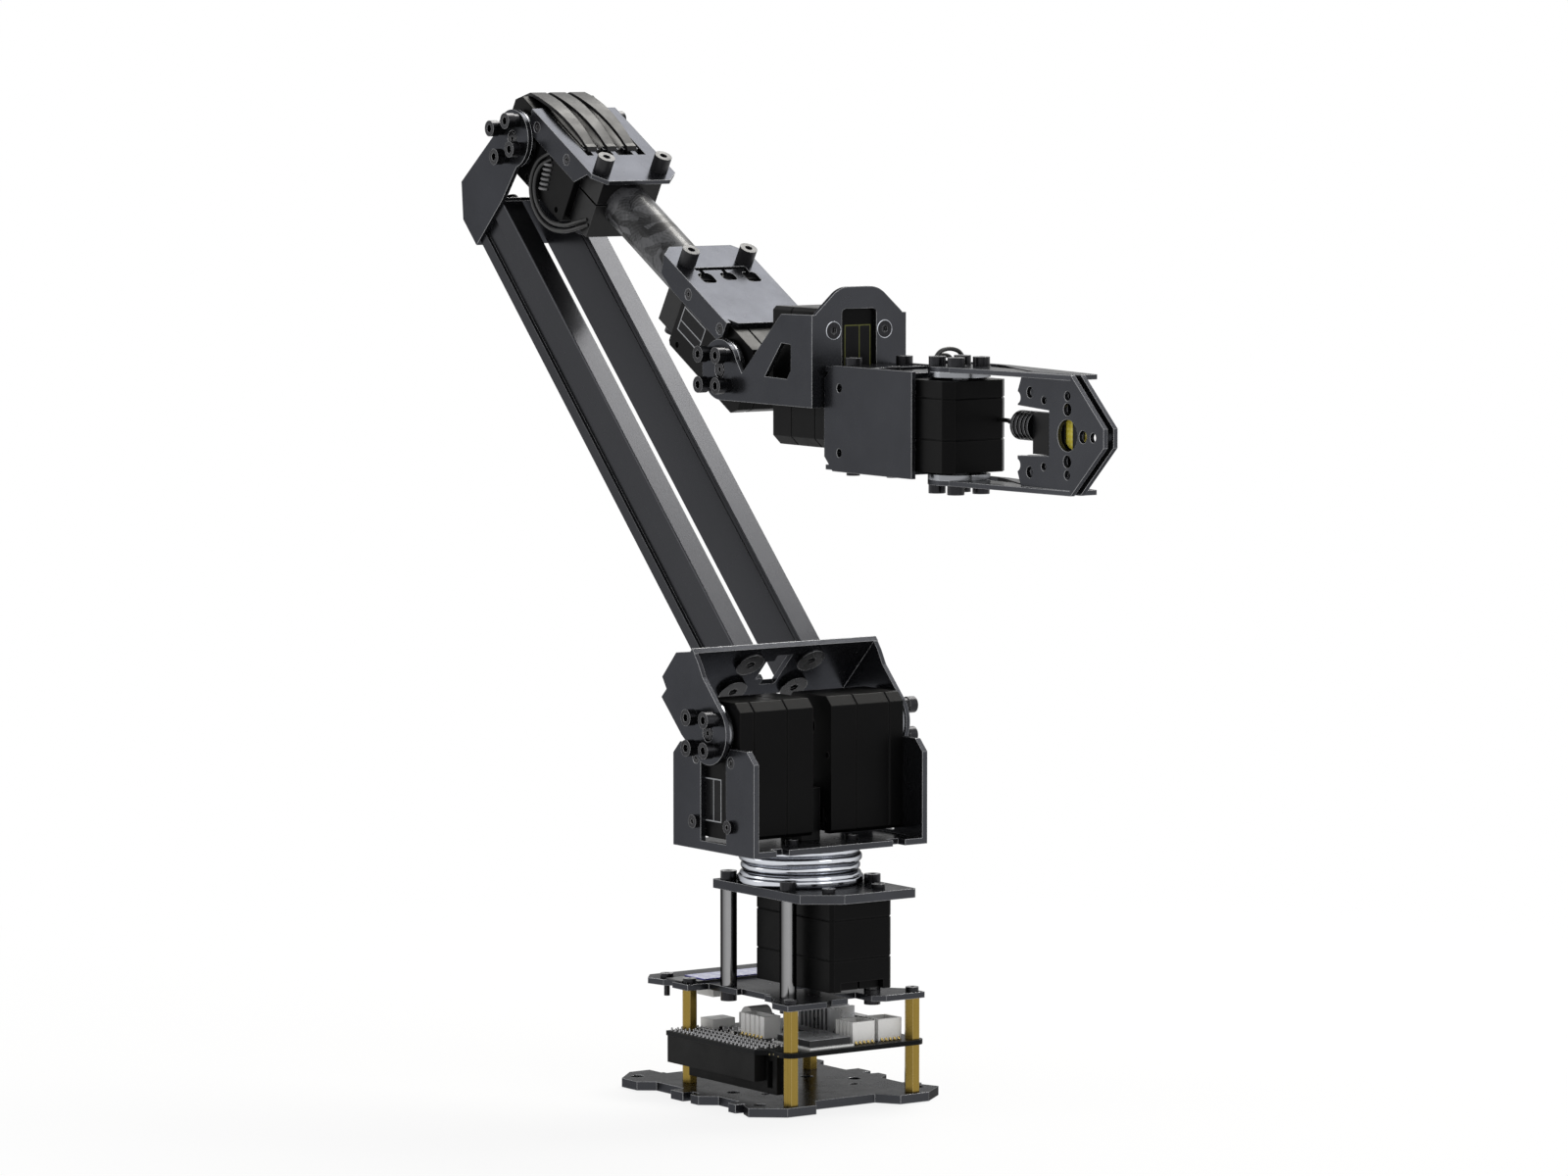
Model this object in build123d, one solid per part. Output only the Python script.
"""Desktop robot arm with five axes and a two-finger gripper, in millimetres, +Z up.

The base yaw axis is the Z axis, the table is Z = 0 and the arm reaches towards +X.
Every piece is modelled in the pose of the photograph.
"""
from build123d import *
from math import cos, radians, sin, tan
import os

os.makedirs("parts", exist_ok=True)

# Fits
FIT = 0.05            # running clearance of a shaft in its bore, on the radius
SCREW_FIT = 0.05      # clearance round a screw shank, on the radius
SEAT = 0.3            # clearance round a piece that drops into a pocket or window

# Screws
M3_HEAD, M3_TALL, M3_SHANK, M3_KEY = 5.5, 3.0, 3.0, 2.5
M2_HEAD, M2_TALL, M2_SHANK, M2_KEY = 4.4, 1.6, 2.0, 1.5
RAIL_HEAD, RAIL_TALL, RAIL_SHANK, RAIL_KEY = 10.0, 1.6, 4.2, 3.0

# Serial bus servo, the same unit at all seven places
SERVO_WIDE = 24.72
SERVO_SIDE = SERVO_WIDE / 2      # output axis to either side
SERVO_NEAR = 10.4                # output axis to the near end
SERVO_FAR = 34.82                # output axis to the far end
SERVO_FRONT, SERVO_MIDDLE, SERVO_BACK = 5.7, 13.1, 10.4
SERVO_DEEP = SERVO_FRONT + SERVO_MIDDLE + SERVO_BACK
SERVO_HALF = SERVO_DEEP / 2
SERVO_BEVEL, SERVO_FAR_BEVEL = 3.0, 1.2
SERVO_SEAM = 0.35
HUB_RADIUS, HUB_DEEP = 3.0, 3.2
HORN_GAP, HORN_THICK, HORN_RADIUS = 0.8, 1.8, 10.0
HORN_SQUARE = 10.0               # side of the square of horn screws
HORN_OUT = SERVO_HALF + HORN_GAP + HORN_THICK
CASE_SCREW = 10.0                # case screws lie this far each side of the long axis
CASE_ROWS = (9.0, 30.0)          # and this far from the output axis
CASE_SCREW_DEEP = 1.0

# Sheet metal
EAR = 1.6
COLLAR_RADIUS, COLLAR_TALL = 2.4, 2.4

# Base stack
COLUMN_X, COLUMN_Y = 58.0, 49.0
FOOT_X, FOOT_Y, FOOT_MIDDLE = 71.5, 63.5, -13.75    # the four bolt holes of the foot
FOOT_HOLE = 2.3
COLUMN_FLATS = 4.6
BASE_THICK = 3.0
LOWER_COLUMN = 16.0
BOARD_THICK = 1.6
UPPER_COLUMN = 13.75
MIDDLE_THICK = 2.0
PILLAR_SQUARE, PILLAR_RADIUS, PILLAR_TALL = 34.0, 2.75, 32.35
TOP_THICK = 3.0
BOARD_Z = BASE_THICK + LOWER_COLUMN
UPPER_Z = BOARD_Z + BOARD_THICK
MIDDLE_Z = UPPER_Z + UPPER_COLUMN
PILLAR_Z = MIDDLE_Z + MIDDLE_THICK
TOP_Z = PILLAR_Z + PILLAR_TALL
DECK_Z = TOP_Z + TOP_THICK

# Turntable
RING_DISC, RING_SHOULDER, RING_NECK = 21.0, 20.2, 18.9
RING_BULGE, RING_CROWN = 19.8, 20.4
RING_BORE = 15.0
RING_FOOT, RING_STEP = 2.6, 4.1  # height of the disc and of the whole fixed ring
RING_SPIGOT = 2.4
RING_PLAY = 0.25                 # between the fixed and the turning ring
RING_WAIST, RING_TOP, RING_TALL = 2.7, 5.7, 12.3
RING_FOOT_SOFT, RING_SOFT = 0.9, 1.3
FLANGE_Z = DECK_Z + RING_TALL
HUB_UP = 9.5
BRACKET_THICK = 2.0
BRACKET_LONG, BRACKET_SLOT = 46.3, 14.6
BRACKET_TALL = 34.6
PAIR_GAP = 7.4                   # between the two shoulder servos
PAIR_OUT = PAIR_GAP / 2 + SERVO_DEEP
PAIR_MIDDLE = PAIR_GAP / 2 + SERVO_HALF

# Upper arm
SHOULDER_Z = 123.1
LEAN = 44.3                      # the rails lean back from the vertical, in the photographed pose
ARM_LONG, ARM_STEP = 236.82, 30.0
RAIL_DEEP, RAIL_WIDE, RAIL_GAP = 20.0, 8.4, 18.6
RAIL_MIDDLE = -1.0               # the rails' middle lies this far in front of the shoulder axis
RAIL_START = 25.6
GROOVE_WIDE, GROOVE_DEEP, GROOVE_BACK = 8.4, 1.2, 1.4    # the shallow groove of a rail's outer face
LINE_WIDE, LINE_DEEP, LINE_EDGE = 0.5, 0.5, 1.9          # the fine groove of its inner face
RAIL_SOFT = 0.5
SHOULDER_EAR = PAIR_OUT + HORN_GAP + HORN_THICK
ELBOW_PLATE_DROP = 10.6          # elbow axis to the top of the rails

# Forearm
FOREARM_LONG, FOREARM_DROP = 144.5, 30.42
TUBE_RADIUS, TUBE_WALL, TUBE_RAISE = 8.0, 1.0, 2.2
COVER_HALF, COVER_THICK = 17.0, 1.6
COVER_SKIRT = 8.0
COVER_LONG, ELBOW_COVER_START, WRIST_COVER_END = 47.0, 3.2, 6.0
SKIRT_HEAD = 3.8
BAND_WIDE, BAND_NARROW, BAND_THICK, BAND_PITCH = 6.2, 3.8, 1.1, 8.1
BAND_MIDDLE, BAND_RISE = 0.2, 1.5
ELBOW_TURN = 16.0                # the elbow's square of horn screws is turned by this
POST_RADIUS, POST_TALL = 3.0, 5.5
CLAMP_LONG, CLAMP_HALF = 12.04, 12.0

# Wrist and tool
ROLL_DROP = 13.15                # wrist pitch axis to the roll axis
DOME_REACH = 52.12               # wrist pitch axis to the dome's front face
DOME_HALF = HORN_OUT + EAR
DOME_SHOULDER, DOME_CROWN, DOME_FLAT = 32.0, 41.9, 7.65  # heights above the roll axis, half the top edge
DOME_WINDOW, DOME_SILL, DOME_LINTEL = 13.8, 14.0, 34.8
DOME_SCREW_Y, DOME_SCREW_Z = 10.2, 27.9
GRIP_REACH = 54.2                # dome's front face to the gripper axis
CHANNEL_HALF, CHANNEL_SHORT, CHANNEL_TALL = 14.6, 5.7, 34.2    # it ends short of the gripper axis
TAB_BACK, TAB_FRONT, TAB_SCREW = 27.0, 11.0, 23.0              # the servo's tabs, behind that axis
JAW_GAP = 5.5                    # between the outer faces' near sides of the two closed jaws
JAW_THICK = 1.6
JAW_HALF = HORN_OUT + EAR
JAW_BACK, JAW_CORNER, JAW_TIP = 34.3, 61.4, 78.0       # from the gripper axis
JAW_TIP_HALF = 3.0
JAW_EYE, JAW_EYE_RADIUS = 59.7, 5.0
NOTCH_DEEP, NOTCH_LOW, NOTCH_HIGH = 16.1, 6.9, 7.3
LAMP_X, LAMP_LIFT, LAMP_RADIUS, LAMP_LONG = 32.8, 1.8, 4.7, 9.0
CHANNEL_HOOD = (0.8, 18.2)       # reach of the channel's top and bottom flanges from its back
HOOD_SCREW_X, HOOD_SCREW_Y = 9.9, 10.2

# Cables
LEAD = 1.4

lean, drop = radians(LEAN), radians(FOREARM_DROP)
SHOULDER = Vector(0, 0, SHOULDER_Z)
UP_ARM = Vector(-sin(lean), 0, cos(lean))
OUT_ARM = Vector(cos(lean), 0, sin(lean))
ELBOW = SHOULDER + UP_ARM * ARM_LONG + OUT_ARM * ARM_STEP
ALONG = Vector(cos(drop), 0, -sin(drop))
WRIST = ELBOW + ALONG * FOREARM_LONG
ROLL_Z = WRIST.Z - ROLL_DROP
DOME_X = WRIST.X + DOME_REACH
GRIP_X = DOME_X + GRIP_REACH
ROLL_FACE = DOME_X - EAR         # front face of the roll servo's case
CHANNEL_BACK = ROLL_FACE + HORN_GAP + HORN_THICK

# Frames: x along the link; the arm's z is +Y, the forearm's and the tool's z is -Y
ARM = Plane(origin=SHOULDER, x_dir=UP_ARM, z_dir=(0, 1, 0)).location
FOREARM = Plane(origin=ELBOW, x_dir=ALONG, z_dir=(0, -1, 0)).location
TOOL = Plane(origin=(0, 0, 0), x_dir=(1, 0, 0), z_dir=(0, -1, 0)).location
HAND = Plane(origin=(GRIP_X, 0, ROLL_Z), x_dir=(1, 0, 0), z_dir=(0, -1, 0)).location
HAND_PLAN = Plane(origin=(GRIP_X, 0, ROLL_Z), x_dir=(1, 0, 0), z_dir=(0, 0, 1)).location
FLAT = Plane.XY.location
ELBOW_X, ELBOW_Y = ARM_LONG, ARM_STEP


def block(frame, x, y, z):
    """A box between pairs of limits along the frame's axes."""
    size = [limit[1] - limit[0] for limit in (x, y, z)]
    middle = [(limit[1] + limit[0]) / 2 for limit in (x, y, z)]
    return frame * Pos(*middle) * Box(*size)


def slab(frame, outline, low, high):
    """A flat piece with a closed outline in the frame's XY plane, between two heights."""
    face = make_face(Polyline(*outline, close=True))
    return frame * Pos(0, 0, low) * extrude(face, high - low)


def rod(frame, x, y, low, high, radius):
    """A round bar along the frame's z axis."""
    return frame * Pos(x, y, (low + high) / 2) * Cylinder(radius, high - low)


def square(side):
    """The four corners of a square round the origin."""
    return [(a * side / 2, b * side / 2) for a in (-1, 1) for b in (-1, 1)]


def hexagon(frame, x, y, low, high, flats, turn=30):
    """A hexagonal bar along the frame's z axis."""
    face = RegularPolygon(flats / 2, 6, major_radius=False, rotation=turn)
    return frame * Pos(x, y, low) * extrude(face, high - low)


def cap_screw(frame, x, y, seat, head, tall, shank, key, grip):
    """A socket screw whose head sits on the height seat and whose shank goes down by grip."""
    screw = rod(frame, x, y, seat, seat + tall, head / 2)
    screw += rod(frame, x, y, seat - grip, seat, shank / 2)
    return screw - hexagon(frame, x, y, seat + tall * 0.45, seat + tall + 1, key)


def m3(frame, x, y, seat, grip):
    return cap_screw(frame, x, y, seat, M3_HEAD, M3_TALL, M3_SHANK, M3_KEY, grip)


def m2(frame, x, y, seat, grip):
    return cap_screw(frame, x, y, seat, M2_HEAD, M2_TALL, M2_SHANK, M2_KEY, grip)


def hole(frame, x, y, low, high, shank):
    """The clearance hole of a screw."""
    return rod(frame, x, y, low, high, shank / 2 + SCREW_FIT)


def save(node, *pieces):
    """Write one node; a node of several pieces keeps each as its own solid."""
    solids = [solid for piece in pieces for solid in piece.solids()]
    shape = solids[0] if len(solids) == 1 else Compound(children=solids)
    export_step(shape, f"parts/{node}.step")


def cable(name, points, diameter):
    """A cable through the points: straight runs joined by arcs as large as the runs allow."""
    radii = []
    for before, point, after in zip(points, points[1:], points[2:]):
        turn = (point - before).get_angle(after - point)
        run = min((point - before).length, (after - point).length)
        radii.append(0.45 * run / tan(radians(turn / 2)))
    path = FilletPolyline(*points, radius=radii)
    start = Plane(origin=path @ 0, z_dir=path % 0)
    tube = sweep(start * Circle(diameter / 2), path)
    section = 3.14159 * diameter ** 2 / 4
    print(name, "length", round(path.length, 1), "radii", [round(radius, 1) for radius in radii],
          "volume over section times length", round(tube.volume / (section * path.length), 3))
    return tube


def puck(low, high, radius, soft):
    """A disc round the Z axis with rounded edges."""
    disc = rod(FLAT, 0, 0, low, high, radius)
    return fillet(disc.edges().filter_by(GeomType.CIRCLE), soft)


def servo_frame(origin, output, far):
    """The frame of a servo: z leaves the output face, x runs to the far end."""
    return Plane(origin=origin, x_dir=far, z_dir=output).location


def servo_outline():
    """The plan of a case, with wide bevels at its near end."""
    side, near, far = SERVO_SIDE, -SERVO_NEAR, SERVO_FAR
    half = [(far - SERVO_FAR_BEVEL, side), (far, side - SERVO_FAR_BEVEL)]
    other = [(x, -y) for x, y in reversed(half)]
    end = [(near + SERVO_BEVEL, -side), (near, -side + SERVO_BEVEL)]
    start = [(x, -y) for x, y in reversed(end)]
    return make_face(Polyline(*half, *other, *end, *start, close=True))


def servo(frame):
    """The three shells of a servo, with its two output bores and four blind case screw holes."""
    shells, low = [], -SERVO_HALF
    for deep in (SERVO_BACK, SERVO_MIDDLE, SERVO_FRONT):
        shell = Pos(0, 0, low) * extrude(servo_outline(), deep)
        rim = [edge for edge in shell.edges() if abs(edge.bounding_box().size.Z) < 0.01]
        inner = [
            edge for edge in rim
            if abs(edge.center().Z - low) < 0.01 and low > -SERVO_HALF + 1
            or abs(edge.center().Z - low - deep) < 0.01 and low + deep < SERVO_HALF - 1
        ]
        shells.append(chamfer(inner, SERVO_SEAM))
        low += deep
    bore = HUB_RADIUS + FIT
    floor = SERVO_HALF - HUB_DEEP - FIT
    shells[2] -= rod(FLAT, 0, 0, floor, SERVO_HALF + 1, bore)
    shells[0] -= rod(FLAT, 0, 0, -SERVO_HALF - 1, -floor, bore)
    for x, y in [(row, side * CASE_SCREW) for row in CASE_ROWS for side in (-1, 1)]:
        shells[2] -= hole(FLAT, x, y, SERVO_HALF - CASE_SCREW_DEEP, SERVO_HALF + 1, M2_SHANK)
        shells[0] -= hole(FLAT, x, y, -SERVO_HALF - 1, -SERVO_HALF + CASE_SCREW_DEEP, M2_SHANK)
    # the two cable sockets sit in a step at the far end of the back shell
    step = block(FLAT, (SERVO_FAR - 9, SERVO_FAR + 1), (-8.5, 8.5), (-SERVO_HALF - 1, -SERVO_HALF + 3))
    shells[0] -= step
    for side in (-1, 1):
        socket = block(FLAT, (SERVO_FAR - 8.5, SERVO_FAR - 2), (side * 4.1 - 3.7, side * 4.1 + 3.7),
                       (-SERVO_HALF + 0.2, -SERVO_HALF + 3))
        socket -= block(FLAT, (SERVO_FAR - 7.6, SERVO_FAR - 2.9), (side * 4.1 - 3, side * 4.1 + 3),
                        (-SERVO_HALF - 1, -SERVO_HALF + 1.6))
        shells.append(socket)
    return [frame * shell for shell in shells]


def horn(frame, side, reach=0.0):
    """A horn disc on the output (side 1) or idler (side -1) bore, with four screw holes."""
    face = SERVO_HALF + HORN_GAP
    disc = rod(FLAT, 0, 0, face, face + HORN_THICK + reach, HORN_RADIUS)
    disc += rod(FLAT, 0, 0, SERVO_HALF - HUB_DEEP, face, HUB_RADIUS)
    for x, y in square(HORN_SQUARE):
        disc -= hole(FLAT, x, y, face - 1, face + HORN_THICK + reach + 1, M3_SHANK)
    disc -= hole(FLAT, 0, 0, face - 2, face + HORN_THICK + reach + 1, M2_SHANK)
    return frame * (disc if side > 0 else Rot(180, 0, 0) * disc)


def horn_screws(frame, side, seat, collar=COLLAR_TALL):
    """Four collared screws and the centre screw of a horn, on an ear whose outer face is seat."""
    pieces = []
    for x, y in square(HORN_SQUARE):
        screw = m3(FLAT, x, y, seat + collar, collar + EAR + HORN_THICK)
        if collar:
            ring = rod(FLAT, x, y, seat, seat + collar, COLLAR_RADIUS)
            pieces.append(ring - hole(FLAT, x, y, seat - 1, seat + collar + 1, M3_SHANK))
        pieces.append(screw)
    centre = seat - EAR
    pieces.append(m2(FLAT, 0, 0, centre, HORN_THICK + 1.5))
    return [frame * (piece if side > 0 else Rot(180, 0, 0) * piece) for piece in pieces]


def sunk_screw(frame, x, y, face, wide, shank, grip):
    """A countersunk screw with its head just below the height face."""
    slope = (wide - shank) / 2
    screw = frame * Pos(x, y, face - 0.05 - slope / 2) * Cone(shank / 2, wide / 2, slope)
    screw += rod(frame, x, y, face - grip, face - slope - 0.05, shank / 2)
    return screw - hexagon(frame, x, y, face - 0.7, face + 1, shank * 0.7)


def sunk_hole(frame, x, y, face, wide, shank, grip):
    """What a countersunk screw takes out of the sheet it holds."""
    slope = (wide - shank) / 2
    cut = frame * Pos(x, y, face - slope / 2) * Cone(shank / 2 + SCREW_FIT, wide / 2 + SCREW_FIT, slope)
    cut += rod(frame, x, y, face - 0.01, face + 1, wide / 2 + SCREW_FIT)
    return cut + hole(frame, x, y, face - grip - 1, face - slope + 0.01, shank)


def ear_holes(frame, low, high):
    """What an ear loses at its horn: four screw holes and the centre hole."""
    cut = rod(frame, 0, 0, low, high, M2_HEAD / 2 + 0.6)
    for x, y in square(HORN_SQUARE):
        cut += hole(frame, x, y, low, high, M3_SHANK)
    return cut


BASE_SERVO = servo_frame((0, 0, TOP_Z - SERVO_HALF), (0, 0, 1), (1, 0, 0))
NEAR_SERVO = servo_frame((0, -PAIR_MIDDLE, SHOULDER_Z), (0, -1, 0), (0, 0, -1))
FAR_SERVO = servo_frame((0, PAIR_MIDDLE, SHOULDER_Z), (0, 1, 0), (0, 0, -1))
ELBOW_SERVO = servo_frame(ELBOW, (0, -1, 0), ALONG)
WRIST_SERVO = servo_frame(WRIST, (0, -1, 0), ALONG * -1)
ROLL_SERVO = servo_frame((ROLL_FACE - SERVO_HALF, 0, ROLL_Z), (1, 0, 0), (0, 0, 1))
GRIP_SERVO = servo_frame((GRIP_X, 0, ROLL_Z), (0, 0, 1), (-1, 0, 0))
ELBOW_HORN = servo_frame(ELBOW, (0, -1, 0), (cos(radians(ELBOW_TURN)), 0, sin(radians(ELBOW_TURN))))
WRIST_HORN = servo_frame(WRIST, (0, -1, 0), (1, 0, 0))

COLUMNS = [(a * COLUMN_X / 2, b * COLUMN_Y / 2) for a in (-1, 1) for b in (-1, 1)]


def base_plate():
    """The foot: a waisted plate with four chamfered lobes and small jigsaw teeth on its long sides."""
    back, front, waist, lobe = -49.0, 25.5, 33.0, 38.2
    plate = block(FLAT, (back, front), (-waist, waist), (0, BASE_THICK))
    for side in (-1, 1):
        rear = [(-36, 20), (-58, 20), (-58, 29), (-49, lobe), (-40, lobe), (-36, waist)]
        nose = [(18, 12), (front, 12), (33, 17), (33, 28.5), (25, lobe + 0.2), (19, lobe - 2), (16, waist)]
        tooth = [(-20, waist - 1), (-20, lobe), (-13, lobe), (-12.5, waist + 1.5),
                 (-9, waist + 1.5), (-8.5, lobe), (-4, lobe), (1, waist - 1)]
        peg = [(12, waist - 1), (12.5, lobe - 0.5), (16.5, lobe - 0.5), (17.5, waist)]
        for outline in (rear, nose, tooth, peg):
            plate += slab(FLAT, [(x, side * y) for x, y in outline], 0, BASE_THICK)
        plate -= block(FLAT, (back - 12, back - 2), (side * 20 - 1, side * 20 + 1), (-1, BASE_THICK + 1))
        for x in (-FOOT_X / 2, FOOT_X / 2):
            plate -= rod(FLAT, FOOT_MIDDLE + x, side * FOOT_Y / 2, -1, BASE_THICK + 1, FOOT_HOLE)
        plate -= rod(FLAT, -3.5, side * 24.5, -1, BASE_THICK + 1, 2.3)
        plate -= rod(FLAT, -16, side * 14, -1, BASE_THICK + 1, 2.3)
        plate -= rod(FLAT, 5.4, side * 17.9, -1, BASE_THICK + 1, 1.5)
    for x, y in COLUMNS:
        plate -= hole(FLAT, x, y, -1, BASE_THICK + 1, M2_SHANK)
    return plate


def board():
    """The driver board, with a bump along its near edge over the header's shroud."""
    edge = 3.5
    plate = FLAT * Pos(0, 0, BOARD_Z) * extrude(
        fillet(Rectangle(COLUMN_X + 2 * edge, COLUMN_Y + 2 * edge).vertices(), edge), BOARD_THICK)
    bump = [(-32.4, -20), (-32.4, -31.6), (18.4, -31.6), (21.5, -27), (21.5, -20)]
    plate += slab(FLAT, bump, BOARD_Z, UPPER_Z)
    for x, y in COLUMNS:
        plate -= hole(FLAT, x, y, BOARD_Z - 1, UPPER_Z + 1, M2_SHANK)
    return plate


def middle_plate():
    """The deck that carries the display and the four pillars."""
    plate = block(FLAT, (-52.5, 29), (-20, 20), (MIDDLE_Z, PILLAR_Z))
    for side in (-1, 1):
        wing = [(-52.5, side * 19), (-52.5, side * 24.5), (-47, side * 29), (-40, side * 27.5),
                (-36, side * 23.5), (-31, side * 19)]
        plate += slab(FLAT, wing, MIDDLE_Z, PILLAR_Z)
        plate += slab(FLAT, [(10, side * 19), (19, side * 24), (23, side * 27.6), (31.8, side * 27.6),
                             (31.8, side * 12), (29, side * 8), (20, side * 8)], MIDDLE_Z, PILLAR_Z)
        plate += slab(FLAT, [(-34, side * 19), (-34, side * 28), (-25, side * 28), (-24, side * 19)],
                      MIDDLE_Z, PILLAR_Z)
    plate -= block(FLAT, (20, 40), (-1.5, 8), (MIDDLE_Z - 1, PILLAR_Z + 1))
    plate -= block(FLAT, (-8, 8), (-25, -18), (MIDDLE_Z - 1, PILLAR_Z + 1))
    for x, y in COLUMNS:
        plate -= hole(FLAT, x, y, MIDDLE_Z - 1, PILLAR_Z + 1, M2_SHANK)
    for x, y in square(PILLAR_SQUARE):
        plate -= hole(FLAT, x, y, MIDDLE_Z - 1, PILLAR_Z + 1, M3_SHANK)
    plate -= rod(FLAT, 0, 0, MIDDLE_Z - 1, PILLAR_Z + 1, 5.0)
    plate -= hole(FLAT, -43, -24, MIDDLE_Z - 1, PILLAR_Z + 1, M2_SHANK)
    return plate


def top_plate():
    """The plate that the base servo hangs under and the turntable stands on."""
    half, back, front = 20.5, -21.5, 37.0
    outline = [(back, -half + 0.5), (back + 0.5, -half), (28.6, -half), (front, -8.6),
               (front, half - 0.8), (front - 0.8, half), (back + 1.5, half), (back, half - 1.5)]
    plate = slab(FLAT, outline, TOP_Z, DECK_Z)
    plate -= rod(FLAT, 0, 0, TOP_Z - 1, DECK_Z + 1, HORN_RADIUS + 1)
    for x, y in square(PILLAR_SQUARE):
        plate -= hole(FLAT, x, y, TOP_Z - 1, DECK_Z + 1, M3_SHANK)
    for side in (-1, 1):
        plate -= hole(FLAT, CASE_ROWS[1], side * CASE_SCREW, TOP_Z - 1, DECK_Z + 1, M2_SHANK)
    return plate


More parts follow.
